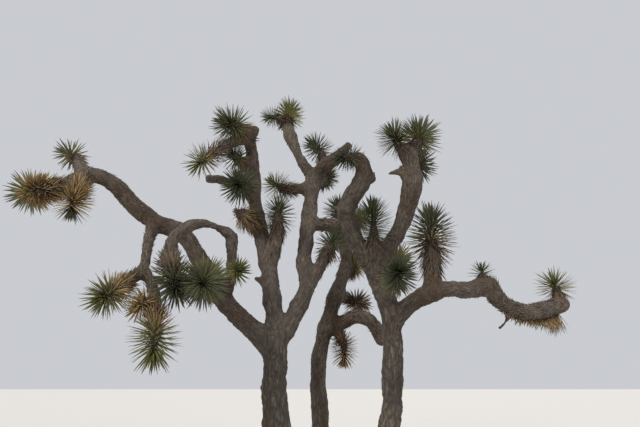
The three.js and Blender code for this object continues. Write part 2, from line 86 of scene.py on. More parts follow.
# Fineness of the limbs
VOXEL = 0.0135
MOST_FACES = 185000  # triangles of one skin
SMOOTHING = 5
LIMB_SIDES = 28
RING_SPACING = 0.03
END_ANGLES = np.radians((30, 60, 80))  # rings of a tube's round end

X = np.array((1.0, 0.0, 0.0))
UP = np.array((0.0, 0.0, 1.0))


def unit(vectors):
    return vectors / np.linalg.norm(vectors, axis=-1, keepdims=True)


def mix(low, high, share):
    return low + (high - low) * share


def seed_of(name):
    seed = 7
    for letter in name:
        seed = (seed * 31 + ord(letter)) % 2**32
    return seed


def heading(lean, back):
    """A heading leans from upright towards +X and goes back towards +Y, both in degrees."""
    side = math.radians(lean)
    depth = math.radians(back)
    return np.array((math.sin(side) * math.cos(depth), math.sin(depth), math.cos(side) * math.cos(depth)))


def grown_points(start, length, lean, back):
    """Points of a line that grows in even steps, each turned a little."""
    stations = range(len(lean))
    points = [np.array(start, dtype=float)]
    for step in range(GROWTH_STEPS):
        position = (step + 0.5) / GROWTH_STEPS * (len(lean) - 1)
        direction = heading(np.interp(position, stations, lean), np.interp(position, stations, back))
        points.append(points[-1] + direction * length / GROWTH_STEPS)
    return np.array(points)


class Limb:
    """A limb's middle line, its radius along it, and what it bears."""

    def __init__(self, name, kind, points, radii, trunk=None, flare=0.0, leaves=None):
        self.name = name
        self.kind = kind
        self.points = points
        self.radii = radii
        self.trunk = trunk or name
        self.flare = flare
        self.leaves = leaves or {}
        self.random = np.random.default_rng(seed_of(name))
        steps = points[1:] - points[:-1]
        self.spacing = np.linalg.norm(steps[0])
        self.length = self.spacing * GROWTH_STEPS
        self.tangents = unit(steps)
        self.normals = self.carried_normals()
        self.sides = np.cross(self.normals, self.tangents)

    def carried_normals(self):
        """Sideways directions that turn with the line and don't twist about it."""
        first = self.tangents[0]
        normal = unit(np.cross(X if abs(first[2]) > 0.9 else UP, first))
        normals = []
        for tangent in self.tangents:
            normal = unit(normal - tangent * normal.dot(tangent))
            normals.append(normal)
        return np.array(normals)

    def at(self, distance):
        """Points on the line, with the directions along it and across it. Both ends carry straight on."""
        distance = np.atleast_1d(distance)
        step = np.clip((distance / self.spacing).astype(int), 0, GROWTH_STEPS - 1)
        tangent = self.tangents[step]
        point = self.points[step] + tangent * (distance - step * self.spacing)[:, None]
        return point, tangent, self.normals[step], self.sides[step]

    def radius(self, distance):
        plain = mix(self.radii[0], self.radii[1], np.clip(distance / self.length, 0, 1))
        if self.kind == "head":
            within = np.clip(1 - (self.length - distance) / self.leaves["crown"], 0, 1)
            return plain * (1 - CROWN_TAPER * within)
        return plain * (1 + self.flare * np.exp(-np.maximum(distance, 0) / FLARE_HEIGHT))

    def around(self, distance, angle):
        """Points on the skin, with the outward direction and the one along the limb."""
        point, tangent, normal, side = self.at(distance)
        outward = normal * np.cos(angle)[:, None] + side * np.sin(angle)[:, None]
        return point, outward, tangent


LIMBS = {}


def stem(name, foot, length, lean, back, radii, thatch=0):
    points = grown_points(foot, length, lean, back)
    LIMBS[name] = Limb(name, "stem", points, radii, flare=FLARE, leaves={"thatch": thatch})


def branch(name, kind, parent, at, length, lean, back, radii, **leaves):
    base = LIMBS[parent]
    start = base.at(at * base.length)[0][0]
    points = grown_points(start, length, lean, back)
    LIMBS[name] = Limb(name, kind, points, radii, trunk=base.trunk, leaves=leaves)


def bough(name, parent, length, lean, back, radii, at=1, thatch=1, pale=0):
    # pale shifts the tint of the thatch towards tan and grey
    branch(name, "bough", parent, at, length, lean, back, radii, thatch=thatch, pale=pale)


def head(name, parent, length, lean, back, radii, reach, crown, at=1, **leaves):
    leaves = {**HEAD_LEAVES, "tint": seed_of(name) % GREENS, **leaves}
    branch(name, "head", parent, at, length, lean, back, radii, reach=reach, crown=crown, **leaves)


def stub(name, parent, length, lean, back, radii, at=1):
    branch(name, "stub", parent, at, length, lean, back, radii)


def fringe(name, under, stretch, radius, drop, reach, hanging):
    base = LIMBS[under]
    distances = np.linspace(*stretch, GROWTH_STEPS + 1) * base.length
    points = base.at(distances)[0] - drop * UP
    leaves = {"reach": reach, "hanging": hanging}
    LIMBS[name] = Limb(name, "fringe", points, (radius, radius), trunk=base.trunk, leaves=leaves)


# Main stem and its left bough
stem(
    "left_stem",
    foot=(0, 0, 0), length=1.94, radii=(0.165, 0.155), lean=(-20, -10, -5, 5), back=(0, 0, 0, 0),
)
bough(
    "left_bough", "left_stem", thatch=0.12,
    at=0.9, length=0.97, radii=(0.145, 0.12), lean=(-40, -50, -40), back=(0, -20, -25),
)
bough(
    "left_diagonal", "left_bough", thatch=0.35,
    length=1.06, radii=(0.122, 0.105), lean=(-30, -35, -40), back=(0, -5, -5),
)
bough(
    "far_left_bough", "left_diagonal", thatch=0.6,
    length=1.37, radii=(0.115, 0.095), lean=(-80, -55, -40, -100), back=(0, -20, -25, -25),
)
bough(
    "hanging_left_bough", "far_left_bough",
    at=0.25, length=0.87, radii=(0.06, 0.055), lean=(180, 165, 170), back=(-25, -35, -20),
)
bough(
    "upright_left_bough", "left_bough", thatch=0.4,
    at=0.95, length=0.81, radii=(0.075, 0.065), lean=(20, 0, 0), back=(-15, -10, -15),
)
bough(
    "arch_bough", "upright_left_bough", thatch=0.5,
    length=1.07, radii=(0.054, 0.076), lean=(-45, -95, -145, -190), back=(-30, -45, -30, -15),
)

# Boughs up the middle
bough(
    "centre_bough", "left_stem", thatch=0.12,
    at=0.95, length=1.42, radii=(0.12, 0.125), lean=(-5, -10, -15), back=(5, 20, 20),
)
bough(
    "centre_tall_bough", "centre_bough", thatch=0.45,
    length=2.01, radii=(0.118, 0.09), lean=(-15, -15, 0, -5), back=(20, 5, -20, -65),
)
bough(
    "dead_stub", "centre_tall_bough", thatch=0.3,
    at=0.54, length=0.7, radii=(0.074, 0.054), lean=(-70, -100), back=(-20, -25),
)
bough(
    "right_centre_bough", "left_stem", thatch=0.12,
    at=0.95, length=1, radii=(0.12, 0.13), lean=(35, 25, 15), back=(5, 25, 25),
)
bough(
    "knot_bough", "right_centre_bough", thatch=0.35,
    length=2.18, radii=(0.108, 0.128), lean=(-15, 5, 5, 0), back=(20, 25, 20, 10),
)
bough(
    "left_mast_bough", "knot_bough", thatch=0.6,
    length=1.38, radii=(0.09, 0.108), lean=(-35, -20, -15), back=(5, 20, 10),
)
bough(
    "blunt_bough", "knot_bough", thatch=0.4,
    at=0.98, length=0.83, radii=(0.145, 0.076), lean=(48, 60), back=(-15, -30),
)

# Right stem
stem(
    "right_stem",
    foot=(0.92, 0, 0), length=2.9, radii=(0.12, 0.138), lean=(15, 10, 0, -25), back=(0, 0, 0, 0),
)
bough(
    "right_inner_bough", "right_stem", thatch=0.25,
    length=0.82, radii=(0.112, 0.12), lean=(-40, -30, -15), back=(-15, -20, -30),
)
bough(
    "right_inner_tip_bough", "right_inner_bough", thatch=0.5,
    length=0.765, radii=(0.135, 0.112), lean=(10, 42, 20, -50), back=(-20, -30, -20, -20),
)
bough(
    "right_outer_bough", "right_stem", thatch=0.35,
    length=1.64, radii=(0.12, 0.118), lean=(45, 32, 8, -20), back=(-15, -30, -40, -15),
)
bough(
    "right_bough", "right_stem", thatch=0.35,
    at=0.7, length=1.75, radii=(0.115, 0.115), lean=(20, 65, 90, 65), back=(-20, -5, 30, 25),
)
bough(
    "right_hook_bough", "right_bough", thatch=1, pale=0.9,
    length=1.75, radii=(0.12, 0.122), lean=(145, 105, 78, 76), back=(35, 35, 25, 20),
)

# Thinner stem behind the other two
stem(
    "back_stem", thatch=0.7,
    foot=(0.38, 0.74, 0), length=3.24, radii=(0.11, 0.12), lean=(-5, -5, 15, 25), back=(15, 5, 10, 30),
)
bough(
    "back_arch_bough", "back_stem",
    at=0.7, length=1.02, radii=(0.112, 0.095), lean=(105, 62, 125, 160), back=(-5, -25, 20, 15),
)

# Heads of the left bough
head(
    "far_left_head", "far_left_bough", aged=0.1, tint=1, skirted=2.2, dead=10,
    length=0.87, radii=(0.097, 0.075), lean=(-160, -94, -80), back=(-30, 5, 42), reach=0.26, crown=0.13,
    skirt=0.4,
)
head(
    "far_left_drop_head", "far_left_bough", aged=0.1, fresh=0.4, skirted=1.5, dead=9,
    length=0.5, radii=(0.095, 0.07), lean=(-178, -172, -176), back=(-22, -10, 10), reach=0.215, crown=0.11,
    skirt=0.26,
)
head(
    "far_left_top_head", "far_left_bough", aged=0.9, skirted=0.5, full=0.55,
    length=0.53, radii=(0.07, 0.05), lean=(-40, -40, -60), back=(10, 15, 10), reach=0.205, crown=0.11,
    skirt=0.12,
)
head(
    "low_left_head", "hanging_left_bough", aged=0.8, fresh=0.8, tint=2, skirted=1.6,
    at=0.95, length=0.62, radii=(0.075, 0.06), lean=(-165, -147, -155), back=(-45, -35, -50), reach=0.22,
    crown=0.13, skirt=0.2,
)
head(
    "low_drop_head", "hanging_left_bough", aged=0.9, tint=2, skirted=1.4,
    length=1.03, radii=(0.07, 0.06), lean=(140, 165, 170), back=(-5, -20, -20), reach=0.25, crown=0.26,
    skirt=0.26,
)
head(
    "low_brown_head", "low_drop_head", aged=0.8, live=10, dead=0, dry=True,
    at=0.35, length=0.23, radii=(0.04, 0.035), lean=(-155, -140), back=(-50, -40), reach=0.19, crown=0.12,
)
head(
    "front_head", "left_diagonal", tint=1, live=14,
    at=0.3, length=1.06, radii=(0.075, 0.06), lean=(150, 145, 145), back=(-75, -70, -70), reach=0.27,
    crown=0.23, skirt=0.2,
)
head(
    "arch_head", "arch_bough", skirted=1.7, aged=2.2,
    length=0.58, radii=(0.095, 0.08), lean=(158, 152), back=(-35, -20), reach=0.235, crown=0.16, skirt=0.3,
)
head(
    "upright_side_head", "upright_left_bough", live=10, dead=0,
    at=0.35, length=0.25, radii=(0.045, 0.035), lean=(80, 45), back=(-60, -45), reach=0.18, crown=0.09,
)
head(
    "rear_left_head", "left_diagonal",
    at=0.3, length=1.66, radii=(0.075, 0.075), lean=(-35, -55, -105), back=(65, 70, 75), reach=0.285,
    crown=0.16, skirt=0.25,
)

# Heads of the middle boughs
head(
    "top_left_head", "centre_tall_bough", live=14,
    at=0.95, length=0.45, radii=(0.09, 0.075), lean=(-70, -95), back=(-60, -45), reach=0.29, crown=0.15,
    skirt=0.15,
)
head(
    "top_left_low_head", "centre_tall_bough", aged=2.3, skirted=0.8, full=0.7, dead=7,
    at=0.95, length=0.97, radii=(0.092, 0.06), lean=(-118, -138, -145), back=(-40, -15, -20), reach=0.24,
    crown=0.13, skirt=0.33,
)
head(
    "tall_left_head", "centre_tall_bough", tint=1,
    at=0.7, length=0.46, radii=(0.07, 0.06), lean=(-95, -55), back=(-55, -50), reach=0.235, crown=0.12,
    skirt=0.13,
)
head(
    "tall_front_head", "centre_tall_bough", live=14,
    at=0.48, length=0.57, radii=(0.08, 0.07), lean=(-70, -135), back=(-70, -75), reach=0.28, crown=0.15,
    skirt=0.12,
)
head(
    "brown_head", "centre_tall_bough", aged=1, blunt=0.3, full=0.6, skirted=1.2, live=6, dead=12, dry=True,
    at=0.15, length=0.53, radii=(0.11, 0.09), lean=(-30, -75), back=(-25, -45), reach=0.25, crown=0.06,
    skirt=0.3,
)
head(
    "centre_head", "knot_bough", dead=6,
    at=0.9, length=0.68, radii=(0.1, 0.08), lean=(-105, -105, -55), back=(-5, -15, -25), reach=0.24,
    crown=0.13, skirt=0.24,
)
head(
    "centre_side_head", "centre_bough", dead=6,
    at=0.8, length=0.91, radii=(0.11, 0.085), lean=(20, 5, 0), back=(-5, 0, 0), reach=0.245, crown=0.2,
    skirt=0.26,
)
head(
    "mast_head", "left_mast_bough", live=14,
    length=0.38, radii=(0.105, 0.085), lean=(15, 0), back=(10, 10), reach=0.285, crown=0.26, skirt=0.12,
)
head(
    "mast_side_head", "left_mast_bough", full=0.7, live=12, dead=3,
    length=0.36, radii=(0.065, 0.055), lean=(-30, -115), back=(-20, -20), reach=0.22, crown=0.11,
    skirt=0.06,
)
head(
    "knot_top_head", "knot_bough", tint=0, aged=2, skirted=0.5,
    length=0.8, radii=(0.08, 0.078), lean=(52, -48), back=(10, 10), reach=0.255, crown=0.2, skirt=0.26,
)
head(
    "knot_side_head", "knot_bough", tint=0, aged=2, skirted=0.6,
    at=0.9, length=0.6, radii=(0.12, 0.105), lean=(50, 20), back=(35, 40), reach=0.215, crown=0.22,
    skirt=0.15,
)
head(
    "rear_centre_head", "knot_bough",
    at=0.53, length=1.3, radii=(0.105, 0.085), lean=(92, 70, 30), back=(20, 40, 50), reach=0.25,
    crown=0.16, skirt=0.24,
)
head(
    "slit_head", "right_centre_bough",
    length=0.96, radii=(0.095, 0.085), lean=(30, 25, 25), back=(25, 25, 25), reach=0.24, crown=0.18,
    skirt=0.24,
)

# Heads of the right stem
head(
    "inner_tip_head", "right_inner_tip_bough", aged=2, skirted=0.5, full=0.8, live=15, dead=3,
    length=0.25, radii=(0.075, 0.06), lean=(-75, -100, -125), back=(-35, -25, -15), reach=0.17, crown=0.19,
    skirt=0.06,
)
head(
    "fork_head", "right_stem", tint=0, aged=2.2, skirted=0.6, live=16,
    length=0.76, radii=(0.075, 0.065), lean=(3, -3), back=(-40, -5), reach=0.27, crown=0.38, skirt=0.12,
)
head(
    "trunk_side_head", "right_stem", tint=0, skirted=0.7, live=14,
    at=0.85, length=0.83, radii=(0.065, 0.055), lean=(45, 25, 0), back=(-85, -80, -65), reach=0.24,
    crown=0.17, skirt=0.2,
)
head(
    "rear_right_head", "right_stem",
    at=0.9, length=1.68, radii=(0.085, 0.08), lean=(40, 35, 30), back=(65, 55, 55), reach=0.285,
    crown=0.16, skirt=0.25,
)
head(
    "outer_left_head", "right_outer_bough", aged=2.1, skirted=0.4, live=14,
    at=0.95, length=0.36, radii=(0.065, 0.062), lean=(-35, -35), back=(-10, -25), reach=0.265, crown=0.11,
    skirt=0.08,
)
head(
    "outer_right_head", "right_outer_bough", aged=2.1, skirted=0.4, live=14,
    at=0.95, length=0.44, radii=(0.07, 0.066), lean=(25, 20), back=(5, 10), reach=0.29, crown=0.15,
    skirt=0.11,
)
head(
    "outer_back_head", "right_outer_bough", tint=0, aged=2, full=0.75, skirted=0.6,
    at=0.75, length=0.7, radii=(0.065, 0.065), lean=(25, 20), back=(35, 25), reach=0.245, crown=0.26,
    skirt=0.2,
)
head(
    "tall_right_head", "right_bough", tint=1, aged=1.7, fresh=0.78, live=16, dead=7,
    at=0.4, length=1.12, radii=(0.11, 0.085), lean=(20, 5, 5), back=(10, 15, 5), reach=0.33, crown=0.42,
    skirt=0.42,
)
head(
    "bend_head", "right_bough", full=0.45, live=12, dead=0,
    at=0.9, length=0.24, radii=(0.05, 0.04), lean=(20, 5), back=(5, 0), reach=0.175, crown=0.085,
)
head(
    "hook_head", "right_hook_bough", aged=1, full=0.6, skirted=0.5, live=14,
    length=0.34, radii=(0.08, 0.07), lean=(-8, -4), back=(-10, 10), reach=0.3, crown=0.11, skirt=0.06,
)
fringe(
    "hook_fringe",
    under="right_hook_bough", stretch=(0.15, 0.96), radius=0.07, drop=0.105, reach=0.42, hanging=24,
)

# Heads of the stem behind
head(
    "back_top_head", "back_stem", dead=7,
    length=1.45, radii=(0.11, 0.095), lean=(10, -10, -5), back=(20, 20, 10), reach=0.28, crown=0.22,
    skirt=0.42,
)
head(
    "back_right_head", "back_stem",
    at=0.95, length=0.56, radii=(0.09, 0.08), lean=(45, 15), back=(30, 40), reach=0.25, crown=0.17,
    skirt=0.2,
)
head(
    "back_low_head", "back_stem", aged=1.6, live=12, dry=True,
    at=0.85, length=0.5, radii=(0.07, 0.062), lean=(100, 105), back=(25, 35), reach=0.215, crown=0.14,
    skirt=0.16,
)
head(
    "back_drop_head", "back_stem", aged=1.2, live=14, dry=True,
    at=0.7, length=0.63, radii=(0.075, 0.058), lean=(120, 190), back=(-20, 0), reach=0.2, crown=0.24,
    skirt=0.12,
)

# Broken ends and knobs, which only the skin has
stub(
    "far_left_knob", "far_left_bough",
    at=0.97, length=0.15, radii=(0.1, 0.075), lean=(-60, -75), back=(10, 0),
)
stub(
    "far_left_twig", "far_left_head",
    at=0.75, length=0.2, radii=(0.016, 0.01), lean=(-160, -150), back=(-10, 0),
)
stub(
    "inner_knob", "right_inner_tip_bough",
    at=0.62, length=0.14, radii=(0.07, 0.05), lean=(80, 70), back=(0, 0),
)
stub(
    "inner_twig", "right_inner_bough",
    at=0.95, length=0.24, radii=(0.02, 0.012), lean=(-60, -50), back=(0, 0),
)
stub(
    "outer_beak", "right_outer_bough",
    at=0.85, length=0.3, radii=(0.085, 0.012), lean=(-85, -105), back=(0, 0),
)
stub(
    "outer_top", "right_outer_bough",
    at=0.93, length=0.1, radii=(0.11, 0.1), lean=(20, 10), back=(-20, -10),
)
stub(
    "centre_knob", "centre_bough",
    at=0.6, length=0.22, radii=(0.06, 0.035), lean=(-80, -60), back=(-20, 0),
)
stub(
    "hook_twig", "right_hook_bough",
    at=0.4, length=0.36, radii=(0.04, 0.026), lean=(-140, -130), back=(-5, -5),
)
stub(
    "tall_knob", "centre_tall_bough",
    at=0.97, length=0.09, radii=(0.08, 0.07), lean=(60, 50), back=(-30, -20),
)


# Limbs: the tubes of a stem's limbs become one skin, which then gets its relief


def tube(limb):
    """Corners and faces of a closed tube with a round end."""
    low = -BURIED if limb.kind == "stem" else 0
    count = max(3, round((limb.length - low) / RING_SPACING))
    distances = np.linspace(low, limb.length, count + 1)
    radii = limb.radius(distances)
    end = radii[-1]
    for angle in END_ANGLES:
        distances = np.append(distances, limb.length + end * math.sin(angle))
        radii = np.append(radii, end * math.cos(angle))
    point, _, normal, side = limb.at(distances)
    angles = np.linspace(0, 2 * math.pi, LIMB_SIDES, endpoint=False)
    ring = normal[:, None] * np.cos(angles)[None, :, None] + side[:, None] * np.sin(angles)[None, :, None]
    corners = (point[:, None] + ring * radii[:, None, None]).reshape(-1, 3)
    faces = []
    for row in range(len(distances) - 1):
        for i in range(LIMB_SIDES):
            j = (i + 1) % LIMB_SIDES
            a, b = row * LIMB_SIDES, (row + 1) * LIMB_SIDES
            faces.append((a + i, b + i, b + j, a + j))
    last = (len(distances) - 1) * LIMB_SIDES
    faces.append(tuple(range(LIMB_SIDES)))
    faces.append(tuple(range(last + LIMB_SIDES - 1, last - 1, -1)))
    return corners, faces


def new_object(name, data):
    obj = bpy.data.objects.new(name, data)
    bpy.context.scene.collection.objects.link(obj)
    return obj


def mesh_object(name, corners, faces):
    mesh = bpy.data.meshes.new(name)
    mesh.from_pydata(corners, [], faces)
    mesh.update()
    return new_object(name, mesh)


def joined_tubes(name, limbs):
    corners, faces, start = [], [], 0
    for limb in limbs:
        tube_corners, tube_faces = tube(limb)
        corners.extend(tube_corners)
        faces.extend(tuple(start + i for i in face) for face in tube_faces)
        start += len(tube_corners)
    return mesh_object(name, corners, faces)


def apply_modifiers(obj):
    graph = bpy.context.evaluated_depsgraph_get()
    mesh = bpy.data.meshes.new_from_object(obj.evaluated_get(graph))
    obj.modifiers.clear()
    old = obj.data
    obj.data = mesh
    bpy.data.meshes.remove(old)


def unite(obj):
    """One closed skin round all the tubes, soft where they fork."""
    remesh = obj.modifiers.new("skin", "REMESH")
    remesh.mode = "VOXEL"
    remesh.voxel_size = VOXEL
    smooth = obj.modifiers.new("forks", "SMOOTH")
    smooth.factor = 0.5
    smooth.iterations = SMOOTHING
    apply_modifiers(obj)


def limb_places(points, limb):
    """Distance of each point along the limb and out of its skin, place across it, direction outward."""
    best = np.full(len(points), np.inf)
    along = np.zeros(len(points))
    across = np.zeros((len(points), 2))
    outward = np.zeros((len(points), 3))
    for step in range(GROWTH_STEPS):
        offset = points - limb.points[step]
        share = np.clip(offset @ limb.tangents[step] / limb.spacing, 0, 1)
        away = offset - limb.tangents[step] * (share * limb.spacing)[:, None]
        gap = np.linalg.norm(away, axis=1)
        nearer = gap < best
        best[nearer] = gap[nearer]
        along[nearer] = (step + share[nearer]) * limb.spacing
        across[nearer, 0] = away[nearer] @ limb.normals[step]
        across[nearer, 1] = away[nearer] @ limb.sides[step]
        outward[nearer] = away[nearer]
    return along, best - limb.radius(along), across, outward / (best[:, None] + TINY)


def near_box(points, limb, room):
    low = limb.points.min(axis=0) - room
    high = limb.points.max(axis=0) + room
    return np.nonzero(((points > low) & (points < high)).all(axis=1))[0]


# Bark: old bark has plates, young bark has streaks, and both have flakes and swellings
PLATE = (0.052, 0.052, 0.21)  # across and along a limb
FLAKE = (0.026, 0.026, 0.075)
STREAK = (0.034, 0.034, 0.26)
PLATE_DEPTH = 0.016
FLAKE_DEPTH = 0.009
STREAK_DEPTH = 0.012
PLATE_EDGE = 0.55  # share of a cell that its edge takes
FLAKE_EDGE = 0.8
STREAK_CONTRAST = 0.8
PLATE_CREST = 0.7  # share of the depth inside the limb's radius
STREAK_CREST = 0.6
FLAKE_CREST = 0.5
PLATE_SHARE = 0.65  # of the relief's level, beside the flakes
STREAK_SHARE = 0.7
WARP = 0.09  # spacing of the noise that bends plates
WARP_SHARE = 0.55
WARP_SEED = 5
noise.seed_set(WARP_SEED)  # or the warp differs from run to run
LUMP = 0.34
LUMP_DEPTH = 0.034
KNOT = 0.11
KNOT_DEPTH = 0.012


def cell_crest(place, size, edge):
    """0 at a cell's edge, rising to 1 over a share of its width."""
    gaps, _ = noise.voronoi(Vector((place[0] / size[0], place[1] / size[1], place[2] / size[2])))
    return min(1.0, (gaps[1] - gaps[0]) / edge)


def lumps_at(point):
    """The broad swellings of a limb."""
    return LUMP_DEPTH * noise.noise(point / LUMP) + KNOT_DEPTH * noise.noise(point / KNOT)


def relief_at(place, point, old):
    """Height of plates and ridges, and how far up one a place is, from 0 in a furrow to 1."""
    bend = noise.noise_vector(point / WARP)
    warped = [place[axis] + WARP_SHARE * PLATE[axis] * bend[axis] for axis in range(3)]
    plate = cell_crest(warped, PLATE, PLATE_EDGE)
    flake = cell_crest(warped, FLAKE, FLAKE_EDGE)
    streak = noise.noise(Vector(warped[axis] / STREAK[axis] for axis in range(3)))
    ridge = min(1.0, max(0.0, 0.5 + STREAK_CONTRAST * streak))
    level = mix(mix(flake, ridge, STREAK_SHARE), mix(flake, plate, PLATE_SHARE), old)
    height = mix(STREAK_DEPTH * (ridge - STREAK_CREST), PLATE_DEPTH * (plate - PLATE_CREST), old)
    return np.array((height + FLAKE_DEPTH * (flake - FLAKE_CREST), level))


OLD_LENGTH = 0.9  # length of bough over which plates turn to streaks
LEAST_FADE = 0.4  # how fast they turn with no thatch
FORK_REACH = 0.12  # how far a fork's fillet runs up its limbs
FORK_FILL = 0.035
SEAM_REACH = 0.06  # how near a fork's seam the bark's pattern runs upright
SEAM_FADE = 0.04
SKIN_ROOM = 0.25  # more than a skin is from its limb's line
PATTERN_SHIFT = 7  # sets limbs' patterns apart
TINY = 1e-9


def age_of(limb, along):
    """1 on a stem, falling to 0 up its boughs."""
    if limb.kind == "stem":
        return np.full(len(along), 1 - limb.leaves["thatch"])
    if limb.leaves.get("thatch", 1) < 1:
        return np.clip(1 - along / OLD_LENGTH * (LEAST_FADE + limb.leaves["thatch"]), 0, 1)
    return np.zeros(len(along))


def read_vectors(mesh, name):
    values = np.empty(len(mesh.vertices) * 3)
    mesh.vertices.foreach_get(name, values)
    return values.reshape(-1, 3)


def add_relief(obj, limbs):
    """Moves the skin out and in, and keeps what the bark's material needs."""
    mesh = obj.data
    count = len(mesh.vertices)
    points = read_vectors(mesh, "co")
    normals = read_vectors(mesh, "normal")
    nearest = np.full(count, np.inf)
    second = np.full(count, np.inf)
    outward = np.zeros((count, 3))
    second_outward = np.zeros((count, 3))
    place = np.zeros((count, 3))
    old = np.zeros(count)
    second_old = np.zeros(count)
    for number, limb in enumerate(limbs):
        chosen = near_box(points, limb, SKIN_ROOM)
        along, gap, across, out = limb_places(points[chosen], limb)
        age = age_of(limb, along)
        later = (gap >= nearest[chosen]) & (gap < second[chosen])
        second[chosen[later]] = gap[later]
        second_outward[chosen[later]] = out[later]
        second_old[chosen[later]] = age[later]
        first = gap < nearest[chosen]
        chosen = chosen[first]
        second[chosen] = nearest[chosen]
        second_outward[chosen] = outward[chosen]
        second_old[chosen] = old[chosen]
        nearest[chosen] = gap[first]
        outward[chosen] = out[first]
        place[chosen, :2] = across[first] + PATTERN_SHIFT * number
        place[chosen, 2] = along[first]
        old[chosen] = age[first]
    apart = np.where(np.isfinite(second), second, 1) - nearest
    fork = np.clip(1 - apart / FORK_REACH, 0, 1) ** 2
    fork *= np.clip(1 - (outward * second_outward).sum(axis=1), 0, 1)
    seam = np.clip((SEAM_REACH - apart) / SEAM_FADE, 0, 1)
    old = mix(second_old, old, 0.5 + 0.5 * np.clip(apart / SEAM_REACH, 0, 1))
    heights = np.empty(count)
    levels = np.empty(count)
    for i in range(count):
        point = Vector(points[i])
        bark = relief_at(place[i], point, old[i])
        if seam[i] > 0:
            bark = mix(bark, relief_at(points[i], point, old[i]), seam[i])
        heights[i] = bark[0] + lumps_at(point)
        levels[i] = bark[1]
    points += normals * (heights + FORK_FILL * fork)[:, None]
    mesh.vertices.foreach_set("co", points.ravel())
    for name, values in (("relief", levels), ("age", old), ("seam", seam)):
        mesh.attributes.new(name, "FLOAT", "POINT").data.foreach_set("value", values)
    mesh.attributes.new("grain", "FLOAT_VECTOR", "POINT").data.foreach_set("vector", place.ravel())
    mesh.update()


def thin_out(obj):
    """Merges the skin's flattest faces until it has few enough."""
    triangles = 2 * len(obj.data.polygons)
    if triangles > MOST_FACES:
        decimate = obj.modifiers.new("thinner", "DECIMATE")
        decimate.ratio = MOST_FACES / triangles
        apply_modifiers(obj)


def cut_at_ground(obj):
    """A flat cut at ground level, closed again."""
    work = bmesh.new()
    work.from_mesh(obj.data)
    geom = work.verts[:] + work.edges[:] + work.faces[:]
    bmesh.ops.bisect_plane(work, geom=geom, plane_no=(0, 0, -1), clear_outer=True)
    bmesh.ops.edgeloop_fill(work, edges=[edge for edge in work.edges if edge.is_boundary])
    work.to_mesh(obj.data)
    work.free()


# Leaves: each kind is made as one mesh of many daggers, from arrays
KEEL = 0.55  # depth of a leaf's keel, as a share of half its width
LONG_LEAF = ((0, 0.3, 0.7, 0.92), (0.7, 1, 0.72, 0.24))  # places along it and widths there
SHORT_LEAF = ((0, 0.45, 0.85), (0.8, 1, 0.45))


class Daggers:
    """Gathers leaves, with a flat face, a keel and a point each, and makes them all as one mesh."""

    def __init__(self, stations, profile):
        self.stations = stations
        self.profile = profile
        self.batches = []

    def add(self, roots, lines, facing, lengths, widths, bends, tints):
        self.batches.append((roots, lines, facing, lengths, widths, bends, tints))

    def corners(self, roots, lines, facing, lengths, widths, bends):
        broad = unit(np.cross(facing, lines))
        thin = np.cross(broad, lines)
        rings = []
        for station, share in zip(self.stations, self.profile):
            bent = thin * (bends * lengths * station**2)[:, None]
            middle = roots + lines * (lengths * station)[:, None] + bent
            half = (widths * share / 2)[:, None]
            rings += [middle - broad * half, middle + broad * half, middle + thin * half * KEEL]
        rings.append(roots + lines * lengths[:, None] + thin * (bends * lengths)[:, None])
        return np.stack(rings, axis=1)

    def faces(self):
        """Corner numbers of one leaf's faces. The last three are its point."""
        pattern = [(0, 1, 2)]
        rings = len(self.stations)
        for ring in range(rings - 1):
            low, high = 3 * ring, 3 * ring + 3
            pattern += [(low + i, high + i, high + (i + 1) % 3, low + (i + 1) % 3) for i in range(3)]
        last = 3 * (rings - 1)
        pattern += [(last + i, 3 * rings, last + (i + 1) % 3) for i in range(3)]
        return pattern

    def make(self, name, materials, point_slot=None):
        parts = [np.concatenate(values) for values in zip(*self.batches)]
        tints = parts.pop()
        corners = self.corners(*parts)
        count, per_leaf = corners.shape[:2]
        pattern = self.faces()
        loops = np.concatenate([np.array(face) for face in pattern])
        sizes = np.array([len(face) for face in pattern])
        starts = np.cumsum(sizes) - sizes
        mesh = bpy.data.meshes.new(name)
        mesh.vertices.add(count * per_leaf)
        mesh.vertices.foreach_set("co", corners.ravel())
        mesh.loops.add(count * len(loops))
        leaf_numbers = np.arange(count)[:, None]
        mesh.loops.foreach_set("vertex_index", (leaf_numbers * per_leaf + loops).ravel())
        mesh.polygons.add(count * len(sizes))
        mesh.polygons.foreach_set("loop_start", (leaf_numbers * len(loops) + starts).ravel())
        slots = np.repeat(tints[:, None], len(sizes), axis=1)
        if point_slot is not None:
            slots[:, -3:] = point_slot
        mesh.polygons.foreach_set("material_index", slots.ravel().astype(int))
        for material in materials:
            mesh.materials.append(material)
        mesh.update(calc_edges=True)
        return new_object(name, mesh)


def tilted(lines, tangent, outward, random, angle):
    """The lines turned a little at random, sideways and up."""
    count = len(lines)
    lines = lines + np.cross(tangent, outward) * random.normal(0, angle, count)[:, None]
    return unit(lines + outward * random.normal(0, angle, count)[:, None])


def spread_lines(tangent, outward, degrees):
    spread = np.radians(degrees)[:, None]
    return tangent * np.cos(spread) + outward * np.sin(spread)


def nearest_tint(worn):
    return np.clip(np.round(worn), 0, LAST_TINT)


